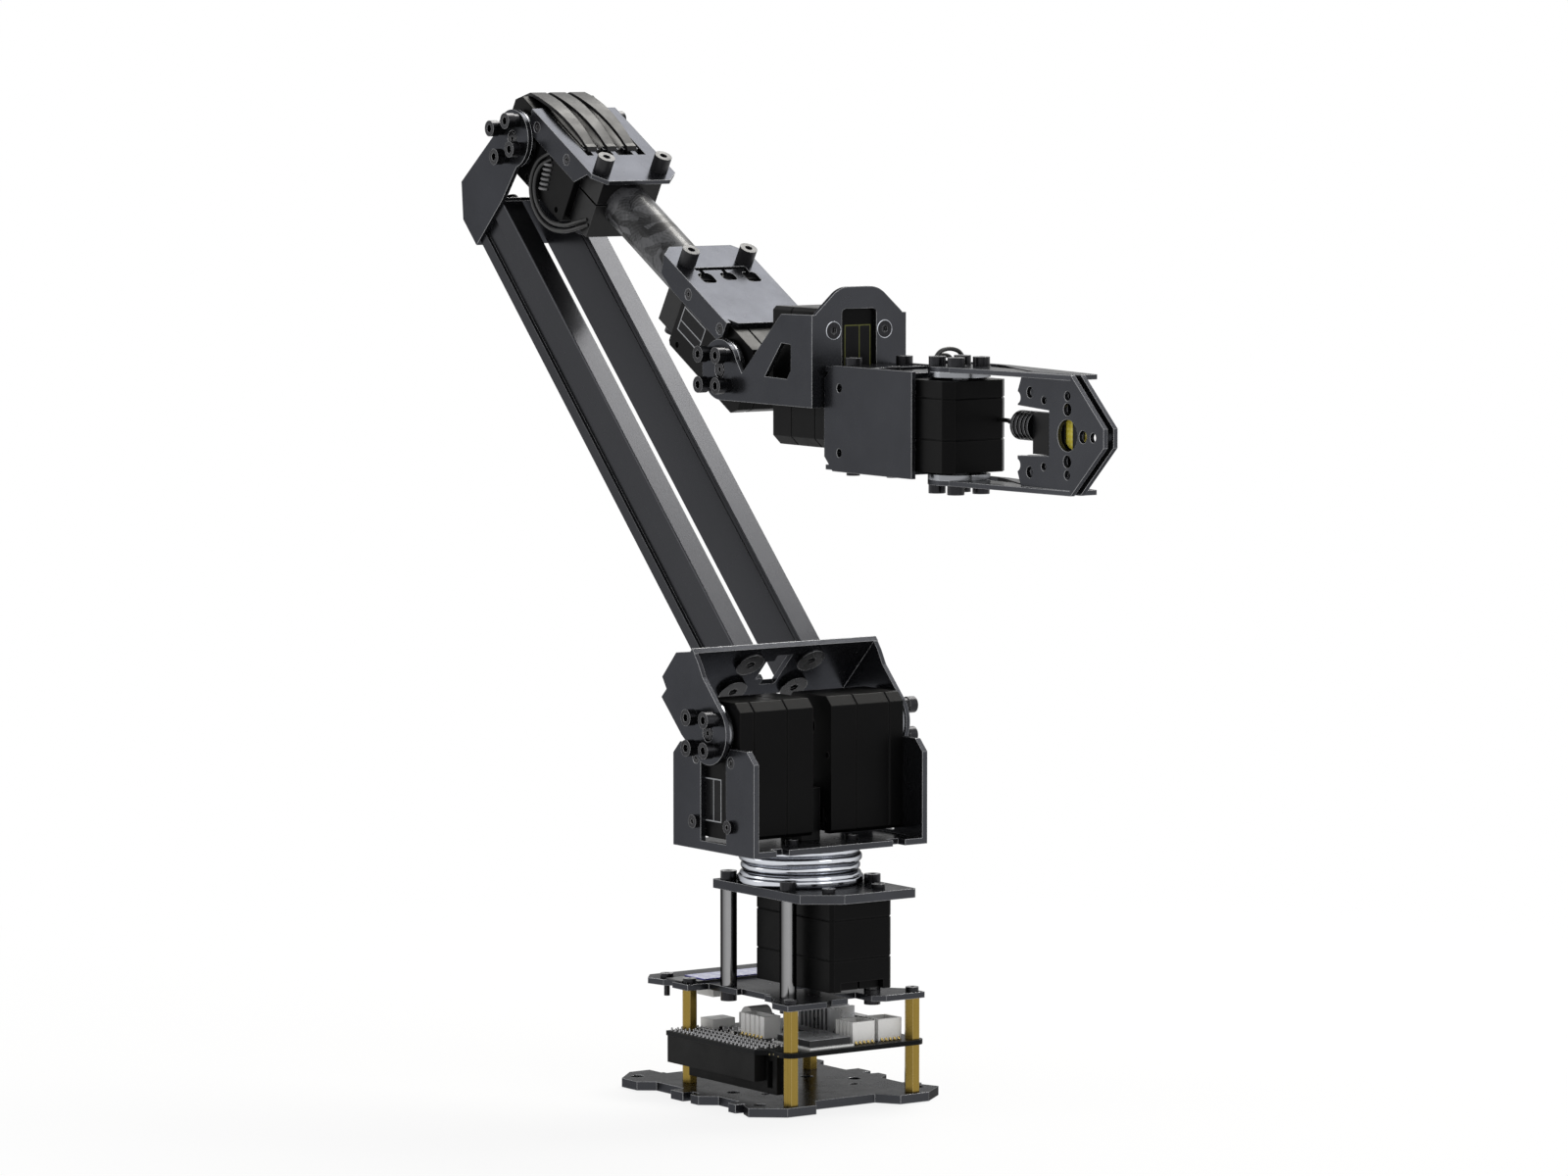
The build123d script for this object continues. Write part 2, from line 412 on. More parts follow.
def build_base():
    save("base_plate", base_plate())
    save("lower_standoffs", *[
        hexagon(FLAT, x, y, BASE_THICK, BOARD_Z, COLUMN_FLATS)
        - hole(FLAT, x, y, BASE_THICK - 1, BOARD_Z + 1, M2_SHANK) for x, y in COLUMNS])
    save("driver_board", board())
    shroud = block(FLAT, (-31.9, 18.4), (-31.4, -27.3), (10.1, BOARD_Z))
    socket = block(FLAT, (-25.6, 24.8), (-27, -22), (6.1, BOARD_Z))
    socket -= block(FLAT, (19.5, 22.5), (-28, -24.5), (8, BOARD_Z - 2))
    pins = 20
    for pin in range(pins):
        for row in (-1.27, 1.27):
            x = (pin - (pins - 1) / 2) * 2.3 - 0.4
            socket -= block(FLAT, (x - 0.45, x + 0.45), (-24.5 + row - 0.45, -24.5 + row + 0.45),
                            (5, 8.5))
    save("pin_header", shroud, socket)
    sockets = []
    for x, y, long_x, long_y in ((22.8, 5.9, 9.5, 8.9), (22.4, 17.0, 9.0, 9.4), (-5.3, -12.3, 13.4, 6.6)):
        shell = block(FLAT, (x - long_x / 2, x + long_x / 2), (y - long_y / 2, y + long_y / 2),
                      (UPPER_Z, UPPER_Z + 7.2))
        shell -= block(FLAT, (x - long_x / 2 + 1, x + long_x / 2 - 1),
                       (y - long_y / 2 + 1, y + long_y / 2 - 1), (UPPER_Z + 2.5, UPPER_Z + 8))
        for step in (-1.5, -0.5, 0.5, 1.5):
            rib = x + step * long_x / 5
            shell -= block(FLAT, (rib - 0.4, rib + 0.4), (y - long_y / 2 - 1, y - long_y / 2 + 0.5),
                           (UPPER_Z + 0.8, UPPER_Z + 8))
        sockets.append(shell)
    under = block(FLAT, (-37, -27.4), (-16, -8), (MIDDLE_Z - 3.4, MIDDLE_Z))
    sockets.append(under)
    usb = block(FLAT, (-32.0, -24.8), (-18.0, -9.0), (UPPER_Z, UPPER_Z + 3.3))
    usb -= block(FLAT, (-33, -26.6), (-17.2, -9.8), (UPPER_Z + 0.6, UPPER_Z + 2.7))
    jack = block(FLAT, (-23.6, -14.6), (-8.2, -0.2), (UPPER_Z, UPPER_Z + 5.2))
    jack += FLAT * Pos(-19.1, -4.2, UPPER_Z + 4.0) * Rot(90, 0, 0) * Cylinder(3.6, 8.0)
    save("bus_connectors", *sockets, usb, jack)
    module = block(FLAT, (10.0, 31.0), (-18.2, -0.4), (UPPER_Z, UPPER_Z + 0.8))
    can = block(FLAT, (11.6, 30.0), (-17.4, -1.4), (UPPER_Z + 0.8, UPPER_Z + 3.2))
    sink = block(FLAT, (-9.0, 9.2), (5.5, 15.5), (UPPER_Z, UPPER_Z + 9.4))
    fins = 8
    for fin in range(fins - 1):
        x = -9.0 + (fin + 1) * 18.2 / fins
        sink -= block(FLAT, (x - 0.72, x + 0.72), (4, 17), (UPPER_Z + 1.6, UPPER_Z + 10))
    chip = block(FLAT, (-21, -13), (12, 20), (UPPER_Z, UPPER_Z + 1.4))
    row = block(FLAT, (-9, 12), (21.5, 25.0), (UPPER_Z, UPPER_Z + 4.6))
    save("board_parts", module, can, sink, chip, row)
    save("upper_standoffs", *[
        hexagon(FLAT, x, y, UPPER_Z, MIDDLE_Z, COLUMN_FLATS)
        - hole(FLAT, x, y, UPPER_Z - 1, MIDDLE_Z + 1, M2_SHANK) for x, y in COLUMNS])
    save("middle_plate", middle_plate())
    carrier = block(FLAT, (-39.6, -27.4), (-26.7, 11.3), (PILLAR_Z, PILLAR_Z + 0.5))
    carrier -= hole(FLAT, -29, -24.5, PILLAR_Z - 1, PILLAR_Z + 3, M2_HEAD + 0.6)
    glass = block(FLAT, (-39.2, -27.8), (-19.5, 10.5), (PILLAR_Z + 0.5, PILLAR_Z + 0.95))
    save("display", carrier, glass)
    save("pillars", *[
        rod(FLAT, x, y, PILLAR_Z, TOP_Z, PILLAR_RADIUS)
        - hole(FLAT, x, y, PILLAR_Z - 1, TOP_Z + 1, M3_SHANK) for x, y in square(PILLAR_SQUARE)])
    save("top_plate", top_plate())
    save("base_servo", *servo(BASE_SERVO))
    below = FLAT * Pos(0, 0, 0) * Rot(180, 0, 0)
    screws = []
    for x, y in square(PILLAR_SQUARE):
        screws.append(m3(FLAT, x, y, DECK_Z, TOP_THICK + 8))
        screws.append(m3(below, x, y, -MIDDLE_Z, MIDDLE_THICK + 8))
    for x, y in COLUMNS:
        screws.append(m2(FLAT, x, y, PILLAR_Z, MIDDLE_THICK + 5))
    screws.append(m2(FLAT, -43, -24, PILLAR_Z, MIDDLE_THICK + 4))
    for side in (-1, 1):
        screws.append(m2(FLAT, CASE_ROWS[1], side * CASE_SCREW, DECK_Z, TOP_THICK + 0.8))
    save("base_fasteners", *screws)
    ring = puck(DECK_Z, DECK_Z + RING_FOOT, RING_DISC, RING_FOOT_SOFT)
    ring += puck(DECK_Z + 0.6, DECK_Z + RING_STEP, RING_SHOULDER, RING_SOFT)
    ring += rod(FLAT, 0, 0, DECK_Z, DECK_Z + RING_STEP + RING_SPIGOT, RING_BORE + 2)
    ring -= rod(FLAT, 0, 0, DECK_Z - 1, FLANGE_Z, RING_BORE)
    save("bearing_lower_ring", ring)


def build_turret():
    low = DECK_Z + RING_STEP + RING_PLAY
    middle, crown = low + RING_WAIST, low + RING_TOP
    ring = puck(low, middle, RING_BULGE, RING_SOFT)
    ring += puck(middle, crown, RING_CROWN, RING_SOFT)
    ring += rod(FLAT, 0, 0, (low + middle) / 2, FLANGE_Z, RING_NECK)
    ring += puck(crown, FLANGE_Z, RING_BULGE, RING_FOOT_SOFT)
    ring -= rod(FLAT, 0, 0, low - 1, low + RING_SPIGOT + 0.05, RING_BORE + 2 + FIT)
    ring -= rod(FLAT, 0, 0, low - 1, FLANGE_Z + 1, RING_BORE - 2)
    save("bearing_upper_ring", ring)
    hub = horn(BASE_SERVO, 1)
    hub += rod(FLAT, 0, 0, TOP_Z + HORN_GAP + HORN_THICK, FLANGE_Z, HUB_UP)
    save("yaw_hub", hub)
    half = BRACKET_LONG / 2
    outer = PAIR_OUT + BRACKET_THICK
    top = FLANGE_Z + BRACKET_THICK
    bracket = block(FLAT, (-half, half), (-outer, outer), (FLANGE_Z, top))
    bevel = 4.0
    wall = [(-half, FLANGE_Z), (half, FLANGE_Z), (half, FLANGE_Z + BRACKET_TALL - bevel),
            (half - bevel, FLANGE_Z + BRACKET_TALL), (-half + bevel, FLANGE_Z + BRACKET_TALL),
            (-half, FLANGE_Z + BRACKET_TALL - bevel)]
    screws = []
    for side in (-1, 1):
        bracket += slab(TOOL, wall, *sorted((-side * PAIR_OUT, -side * outer)))
        bracket -= rod(TOOL, 0, SHOULDER_Z, *sorted((-side * (PAIR_OUT - 0.5), -side * (outer + 1))),
                       HORN_RADIUS + 0.6)
        bracket -= block(FLAT, (-BRACKET_SLOT / 2, BRACKET_SLOT / 2),
                         sorted((side * (PAIR_OUT - 0.5), side * (outer + 1))),
                         (top + 1.0, FLANGE_Z + BRACKET_TALL + 1))
        face = TOOL if side < 0 else TOOL * Rot(0, 180, 0)
        for x in (-1, 1):
            bracket -= block(FLAT, sorted((x * (half - 4), x * (half + 1))),
                             sorted((side * (outer - 9), side * (outer - 14))), (FLANGE_Z - 1, top + 1))
            for row in CASE_ROWS:
                z = SHOULDER_Z - row
                if row == CASE_ROWS[0]:
                    place = (face, x * CASE_SCREW, z, outer, SKIRT_HEAD, M2_SHANK, BRACKET_THICK + 0.8)
                    bracket -= sunk_hole(*place)
                    screws.append(sunk_screw(*place))
                else:
                    bracket -= hole(face, x * CASE_SCREW, z, PAIR_OUT - 1, outer + 1, M2_SHANK)
                    screws.append(m2(face, x * CASE_SCREW, z, outer, BRACKET_THICK + 0.8))
    for x, y in square(24.0):
        bracket -= hole(FLAT, x, y, FLANGE_Z - 1, top + 1, M3_SHANK)
        screws.append(m2(FLAT, x, y, top, BRACKET_THICK))
    save("shoulder_bracket", bracket)
    save("shoulder_servo_near", *servo(NEAR_SERVO))
    save("shoulder_servo_far", *servo(FAR_SERVO))
    spacer = block(FLAT, (-6.0, 6.0), (-PAIR_GAP / 2, PAIR_GAP / 2), (top, SHOULDER_Z - 20))
    spacer -= block(FLAT, (-4.0, 4.0), (-PAIR_GAP / 2 + 2, PAIR_GAP / 2 + 1), (top + 2, SHOULDER_Z - 22))
    save("servo_spacer", spacer)
    save("turret_screws", *screws)


def rail(side):
    """One rail of the upper arm, with a wide groove outside and a fine one inside."""
    inner, outer = RAIL_GAP / 2, RAIL_GAP / 2 + RAIL_WIDE
    top = ARM_LONG - ELBOW_PLATE_DROP
    y = (RAIL_MIDDLE - RAIL_DEEP / 2, RAIL_MIDDLE + RAIL_DEEP / 2)
    middle = (RAIL_START + top) / 2, RAIL_MIDDLE, side * (inner + outer) / 2
    bar = Box(top - RAIL_START, RAIL_DEEP, RAIL_WIDE)
    body = ARM * Pos(*middle) * fillet(bar.edges().filter_by(Axis.X), RAIL_SOFT)
    groove = RAIL_MIDDLE - GROOVE_BACK
    body -= block(ARM, (RAIL_START - 1, top + 1), (groove - GROOVE_WIDE / 2, groove + GROOVE_WIDE / 2),
                  sorted((side * (outer - GROOVE_DEEP), side * (outer + 1))))
    line = y[1] - LINE_EDGE
    body -= block(ARM, (RAIL_START - 1, top + 1), (line - LINE_WIDE, line),
                  sorted((side * (inner - 1), side * (inner + LINE_DEEP))))
    end = ARM * Rot(0, 90, 0)
    for n in (-7.0, 7.0):
        across = side * (inner + RAIL_WIDE / 2 - 1.2)
        body -= hole(end, -across, RAIL_MIDDLE + n, RAIL_START - 1, RAIL_START + 14, RAIL_SHANK)
        body -= hole(end, -across, RAIL_MIDDLE + n, top - 14, top + 1, RAIL_SHANK)
    return body


def build_upper_arm():
    save("shoulder_horns", horn(NEAR_SERVO, 1), horn(FAR_SERVO, 1))
    outer = SHOULDER_EAR + EAR
    seat = RAIL_START - BRACKET_THICK
    low, high = RAIL_MIDDLE - 11.4, RAIL_MIDDLE + 13.5
    bracket = block(ARM, (seat, RAIL_START), (low, high), (-outer, outer))
    ear = [(0, -10.5), (9.2, -12.1), (RAIL_START, low), (RAIL_START, high), (20, 11.8), (15, 10.5),
           (0, 10.5)]
    for side in (-1, 1):
        limits = sorted((side * SHOULDER_EAR, side * outer))
        bracket += slab(ARM, ear, *limits) + rod(ARM, 0, 0, *limits, 10.5)
        tab = [(RAIL_START - 0.5, low + 4), (RAIL_START + 4.5, low + 5), (RAIL_START + 5, high - 8),
               (RAIL_START - 0.5, high - 1)]
        bracket += slab(ARM, tab, *limits)
        frame = NEAR_SERVO if side < 0 else FAR_SERVO
        bracket -= ear_holes(frame, SERVO_HALF + HORN_GAP + HORN_THICK - 1, SERVO_HALF + 8)
    bracket -= block(ARM, (seat - 1, RAIL_START + 1), (RAIL_MIDDLE - 6, RAIL_MIDDLE + 9), (-4.6, 4.6))
    for n in (-4.5, 7.5):
        hook = block(ARM, (seat, RAIL_START), (RAIL_MIDDLE + n - 1.5, RAIL_MIDDLE + n + 1.5), (-4.6, -1.4))
        bracket += hook
    end = ARM * Rot(0, 90, 0)
    under = ARM * Rot(0, -90, 0)
    screws = []
    top = ARM_LONG - ELBOW_PLATE_DROP
    for side in (-1, 1):
        across = side * (RAIL_GAP / 2 + RAIL_WIDE / 2 - 1.2)
        for n in (-7.0, 7.0):
            bracket -= hole(end, -across, RAIL_MIDDLE + n, seat - 1, RAIL_START + 1, RAIL_SHANK)
            screws.append(cap_screw(under, across, RAIL_MIDDLE + n, -seat, RAIL_HEAD, RAIL_TALL,
                                    RAIL_SHANK, RAIL_KEY, BRACKET_THICK + 8))
    save("lower_arm_bracket", bracket)
    save("arm_rail_near", rail(-1))
    save("arm_rail_far", rail(1))
    seat_high = HORN_OUT + EAR
    elbow = block(ARM, (top, top + EAR), (RAIL_MIDDLE - 11.4, RAIL_MIDDLE + 11), (-seat_high, seat_high))
    ear = [(top, RAIL_MIDDLE - 11.4), (ARM_LONG + 1.5, RAIL_MIDDLE - 11.4),
           (ARM_LONG + 11.5, RAIL_MIDDLE - 3), (ELBOW_X + 8.6, ELBOW_Y - 6), (ELBOW_X + 6, ELBOW_Y),
           (ELBOW_X - 8, ELBOW_Y), (top, RAIL_MIDDLE + 11)]
    for side in (-1, 1):
        limits = sorted((side * HORN_OUT, side * seat_high))
        elbow += slab(ARM, ear, *limits) + rod(ARM, ELBOW_X, ELBOW_Y, *limits, HORN_RADIUS)
        face = ELBOW_HORN if side < 0 else ELBOW_HORN * Rot(180, 0, 0)
        elbow -= ear_holes(face, HORN_OUT - 1, HORN_OUT + 5)
        across = side * (RAIL_GAP / 2 + RAIL_WIDE / 2 - 1.2)
        for n in (-7.0, 7.0):
            elbow -= hole(end, -across, RAIL_MIDDLE + n, top - 1, top + 5, RAIL_SHANK)
            screws.append(cap_screw(end, -across, RAIL_MIDDLE + n, top + EAR, 7.0, 2.0,
                                    RAIL_SHANK, RAIL_KEY, EAR + 8))
    save("elbow_bracket", elbow)
    save("rail_screws", *screws)
    shoulder_seat = SERVO_HALF + HORN_GAP + HORN_THICK + EAR
    save("shoulder_horn_screws", *horn_screws(NEAR_SERVO, 1, shoulder_seat),
         *horn_screws(FAR_SERVO, 1, shoulder_seat))
    save("elbow_horns", horn(ELBOW_HORN, 1), horn(ELBOW_HORN, -1))
    save("elbow_horn_screws", *horn_screws(ELBOW_HORN, 1, seat_high),
         *horn_screws(ELBOW_HORN, -1, seat_high))


def clamp(start, upper):
    """One half of a block that grips the tube against a servo's far end."""
    half, split = CLAMP_HALF, 0.4
    low, high = (TUBE_RAISE + split, SERVO_SIDE) if upper else (-10.5, TUBE_RAISE - split)
    body = block(FOREARM, (start, start + CLAMP_LONG), (low, high), (-half, half))
    along = FOREARM * Pos(0, TUBE_RAISE, 0) * Rot(0, 90, 0)
    body -= rod(along, 0, 0, start - 1, start + CLAMP_LONG + 1, TUBE_RADIUS)
    return body


def cover(start, end, slots):
    """A folded cover over a servo and its clamp, with a skirt down each side."""
    low, high = SERVO_SIDE, SERVO_SIDE + COVER_THICK
    cut = 4.5
    outline = [(start + cut, -COVER_HALF), (end - cut, -COVER_HALF), (end, -COVER_HALF + cut),
               (end, COVER_HALF - cut), (end - cut, COVER_HALF), (start + cut, COVER_HALF),
               (start, COVER_HALF - cut), (start, -COVER_HALF + cut)]
    if slots == "open":
        outline[-3:] = [(start, COVER_HALF), (start, -COVER_HALF)]
    sheet_frame = FOREARM * Rot(-90, 0, 0)
    plate = slab(sheet_frame, outline, low, high)
    inner = COVER_HALF - COVER_THICK
    if slots == "open":
        skirt = [(start + 0.5, high), (end - cut - 1, high), (end - cut - 8, high - COVER_SKIRT),
                 (start + 5, high - COVER_SKIRT), (start + 0.5, high - 4)]
    else:
        skirt = [(start + cut, high), (end - 0.5, high), (end - 0.5, high - COVER_SKIRT),
                 (start + 14, high - COVER_SKIRT), (start + 6, high - COVER_SKIRT + 1.5)]
    for side in (-1, 1):
        plate += slab(FOREARM, skirt, *sorted((side * inner, side * COVER_HALF)))
    return plate


def band(z, hook_start, hook_end, high):
    """A flat rubber band from a hook of the elbow cover round the near end of the servo's case."""
    near, side, bevel, far = -SERVO_NEAR - 0.05, SERVO_SIDE + 0.05, SERVO_BEVEL, -2.0
    thick, slack, half = BAND_THICK, BAND_THICK * 0.4, BAND_WIDE / 2
    middle = (near + bevel + hook_start) / 2
    inner_end, inner_start = (hook_start, high + 0.05), (near + bevel, side)
    outer_start, outer_end = (near + bevel - slack, side + thick), (hook_start, high + thick)
    edges = Polyline((hook_end + thick, high - 1.0), (hook_end + 0.1, high - 1.0),
                     (hook_end + 0.1, high + 0.05), inner_end).edges()
    edges += ThreePointArc(inner_end, (middle, high + BAND_RISE), inner_start).edges()
    edges += Polyline(inner_start, (near, side - bevel), (near, -side + bevel), (near + bevel, -side),
                      (far, -side), (far, -side - thick), (near + bevel - slack, -side - thick),
                      (near - thick, -side + bevel - slack), (near - thick, side - bevel + slack),
                      outer_start).edges()
    edges += ThreePointArc(outer_start, (middle, high + BAND_RISE + thick), outer_end).edges()
    edges += Polyline(outer_end, (hook_end - 0.2, high + thick), (hook_end + thick, high),
                      (hook_end + thick, high - 1.0)).edges()
    body = FOREARM * Pos(0, 0, z - half) * extrude(make_face(edges), BAND_WIDE)
    wide, narrow, waist = half + 1, BAND_NARROW / 2, hook_start - 3
    plan = [(near - 5, -wide), (1.0, -half), (waist, -narrow), (hook_end + 5, -narrow),
            (hook_end + 5, narrow), (waist, narrow), (1.0, half), (near - 5, wide)]
    body &= slab(FOREARM * Rot(-90, 0, 0) * Pos(0, -z, 0), plan, -30, 30)
    return body - block(FOREARM, (hook_end - 0.2, hook_end + 3), (high - 3, high + 0.05), (z - 1.0, z + 1.0))


def build_forearm():
    save("elbow_servo", *servo(ELBOW_SERVO))
    save("wrist_servo", *servo(WRIST_SERVO))
    high = SERVO_SIDE + COVER_THICK
    sheet_frame = FOREARM * Rot(-90, 0, 0)
    elbow_start, elbow_end = ELBOW_COVER_START, ELBOW_COVER_START + COVER_LONG
    open_end, open_half = 33.8, 11.9
    plate = cover(elbow_start, elbow_end, "open")
    opening = (elbow_start - 1, open_end)
    plate -= block(FOREARM, opening, (SERVO_SIDE - 0.1, high + 1), (-open_half, open_half))
    bands = []
    for step in (-1, 0, 1):
        z = BAND_MIDDLE + step * BAND_PITCH
        plate += block(FOREARM, (open_end - 4.5, open_end + 1), (SERVO_SIDE, high), (z - 0.9, z + 0.9))
        plate += block(FOREARM, (open_end - 5.5, open_end - 3.7), (SERVO_SIDE, high), (z - 3.0, z + 3.0))
        bands.append(band(z, open_end - 5.5, open_end - 3.6, high))
    for side in (-1, 1):
        plate -= rod(FOREARM, 0, 0, *sorted((side * 13, side * 19)), HORN_RADIUS + 0.6)
    wrist_end = FOREARM_LONG - WRIST_COVER_END
    wrist_start = wrist_end - COVER_LONG
    shield = cover(wrist_start, wrist_end, "slots")
    slit = wrist_start + 13.1
    shield -= block(FOREARM, (slit, slit + 1.8), (SERVO_SIDE - 1, high + 1), (-10.4, 10.4))
    for z, reach in ((-8.6, 6.0), (0.4, 4.6), (9.4, 6.0)):
        slot = RectangleRounded(reach, 5.4, 1.6)
        middle = slit + 3.4 + reach / 2
        shield -= sheet_frame * Pos(middle, z, SERVO_SIDE - 1) * extrude(slot, COVER_THICK + 2)
    for z in (-8.6, 0.4, 9.4):
        shield -= block(FOREARM, (slit + 1.4, slit + 4.4), (SERVO_SIDE - 1, high + 1), (-z - 0.8, -z + 0.8))
    for side in (-1, 1):
        shield -= rod(FOREARM, FOREARM_LONG, 0, *sorted((side * 13, side * 19)), HORN_RADIUS + 0.6)
    elbow_post, wrist_post = elbow_end - 6.7, wrist_start + 10.5
    posts, screws = [], []
    for start, piece in ((elbow_post, plate), (wrist_post, shield)):
        for side in (-1, 1):
            y = side * 11.6
            post = rod(sheet_frame, start, y, high, high + POST_TALL, POST_RADIUS)
            posts.append(post - rod(sheet_frame, start, y, high + 1.5, high + POST_TALL + 1, 1.25))
    for piece, rows in ((0, CASE_ROWS), (1, [FOREARM_LONG - row for row in CASE_ROWS])):
        for row, side in [(row, side) for row in rows for side in (-1, 1)]:
            face = FOREARM if side > 0 else FOREARM * Rot(180, 0, 0)
            reach = COVER_HALF - SERVO_HALF + CASE_SCREW_DEEP - 0.2
            cut = sunk_hole(face, row, side * CASE_SCREW, COVER_HALF, SKIRT_HEAD, M2_SHANK, reach)
            if piece == 0:
                plate -= cut
            else:
                shield -= cut
            screws.append(
                sunk_screw(face, row, side * CASE_SCREW, COVER_HALF, SKIRT_HEAD, M2_SHANK, reach))
    save("elbow_cover", plate)
    save("wrist_cover", shield)
    save("hook_posts", *posts)
    save("elastic_bands", *bands)
    rear, front = SERVO_FAR + 0.0, FOREARM_LONG - SERVO_FAR - CLAMP_LONG
    for name, start in (("rear", rear), ("front", front)):
        for half in ("upper", "lower"):
            body = clamp(start, half == "upper")
            for side in (-1, 1):
                x, y = start + CLAMP_LONG / 2, side * 10.0
                body -= hole(sheet_frame, x, y, -12, SERVO_SIDE + 1, M2_SHANK)
            save(f"{name}_clamp_{half}", body)
        for side in (-1, 1):
            below = sheet_frame * Rot(180, 0, 0)
            screws.append(m2(below, start + CLAMP_LONG / 2, side * 10.0, 10.5, 18.0))
    along = FOREARM * Pos(0, TUBE_RAISE, 0) * Rot(0, 90, 0)
    tube = rod(along, 0, 0, rear, front + CLAMP_LONG, TUBE_RADIUS)
    save("carbon_tube", tube - rod(along, 0, 0, rear - 1, front + CLAMP_LONG + 1, TUBE_RADIUS - TUBE_WALL))
    save("forearm_screws", *screws)
    outer = [(17.0, 4.6, 14.4), (13.6, 0.2, 15.6), (12.6, -5.6, 15.8), (14.2, -11.2, 15.8),
             (18.6, -15.4, 15.8), (25.0, -17.4, 15.8), (32.4, -16.6, 15.6), (39.0, -13.2, 14.8),
             (43.5, -8.8, 13.4), (46.0, -6.2, 11.8)]
    inner = [(19.2, 3.4, 14.4), (15.8, -0.4, 15.6), (14.8, -5.2, 15.8), (16.2, -9.8, 15.8),
             (19.8, -13.2, 15.8), (25.4, -15.0, 15.8), (31.8, -14.4, 15.6), (38.0, -11.4, 14.8),
             (42.0, -7.4, 13.4), (44.4, -5.0, 11.8)]
    case = block(FOREARM, (-SERVO_NEAR, SERVO_FAR), (-SERVO_SIDE, SERVO_SIDE), (0, SERVO_HALF))
    case += block(FOREARM, (SERVO_FAR + 1, 60), (-SERVO_SIDE, SERVO_SIDE), (0, CLAMP_HALF))
    strands = [cable("elbow_cable", [(FOREARM * Pos(*point)).position for point in route], LEAD) - case
               for route in (outer, inner)]
    save("elbow_cable", *strands)


def build_wrist():
    save("wrist_horns", horn(WRIST_HORN, 1), horn(WRIST_HORN, -1))
    z, low = WRIST.Z, WRIST.Z - 10.0
    x0, top = WRIST.X, WRIST.Z + 20.0
    back = DOME_X - EAR
    ear = [(x0, low), (DOME_X, low), (DOME_X, top), (DOME_X - 17.2, top - 0.3), (x0 + 12.6, z - 0.7),
           (x0 + 5.8, z + 8.2), (x0, z + 2)]
    gap = [(DOME_X - 17.1, z + 10.3), (DOME_X - 11.8, z + 10.0), (DOME_X - 11.8, z + 1.6),
           (DOME_X - 13.9, z - 1.3), (DOME_X - 26.5, z - 1.0)]
    bracket = None
    for side in (-1, 1):
        limits = sorted((-side * HORN_OUT, -side * DOME_HALF))
        wing = slab(TOOL, ear, *limits) + rod(TOOL, x0, z, *limits, HORN_RADIUS)
        wing -= slab(TOOL, gap, *sorted((-side * (HORN_OUT - 1), -side * (DOME_HALF + 1))))
        face = WRIST_HORN if side < 0 else WRIST_HORN * Rot(180, 0, 0)
        wing -= ear_holes(face, HORN_OUT - 1, HORN_OUT + 5)
        bracket = wing if bracket is None else bracket + wing
    front = Plane(origin=(back, 0, 0), x_dir=(0, 1, 0), z_dir=(1, 0, 0)).location
    shoulder, crown = ROLL_Z + DOME_SHOULDER, ROLL_Z + DOME_CROWN
    panel = slab(front, [(-DOME_HALF, low), (DOME_HALF, low), (DOME_HALF, shoulder), (DOME_FLAT, crown),
                         (-DOME_FLAT, crown), (-DOME_HALF, shoulder)], 0, EAR)
    across = panel.edges().filter_by(Axis.X)
    panel = fillet([edge for edge in across if edge.center().Z > crown - 0.01], 9.0)
    across = panel.edges().filter_by(Axis.X)
    panel = fillet([edge for edge in across if abs(edge.center().Z - shoulder) < 0.01], 7.0)
    window = RectangleRounded(DOME_WINDOW, DOME_LINTEL - DOME_SILL, 1.6)
    panel -= front * Pos(0, ROLL_Z + (DOME_SILL + DOME_LINTEL) / 2, -1) * extrude(window, EAR + 2)
    panel -= rod(front, 0, ROLL_Z, -1, EAR + 1, HORN_RADIUS + 0.8)
    screws = []
    for side in (-1, 1):
        panel -= hole(front, side * DOME_SCREW_Y, ROLL_Z + DOME_SCREW_Z, -1, EAR + 1, M3_SHANK)
        sunk = front * Pos(side * DOME_SCREW_Y, ROLL_Z + DOME_SCREW_Z, EAR - 0.5) * Cone(1.6, 3.1, 1.5)
        panel -= sunk
        head = front * Pos(side * DOME_SCREW_Y, ROLL_Z + DOME_SCREW_Z, EAR - 0.55) * Cone(1.5, 2.9, 1.3)
        head += rod(front, side * DOME_SCREW_Y, ROLL_Z + DOME_SCREW_Z, 0, EAR - 1, 1.5)
        head -= hexagon(front, side * DOME_SCREW_Y, ROLL_Z + DOME_SCREW_Z, EAR - 0.7, EAR + 1, 2.0)
        screws.append(head)
    save("wrist_bracket", bracket + panel)
    save("roll_servo", *servo(ROLL_SERVO))
    seat = HORN_OUT + EAR
    save("wrist_screws", *horn_screws(WRIST_HORN, 1, seat), *horn_screws(WRIST_HORN, -1, seat), *screws)


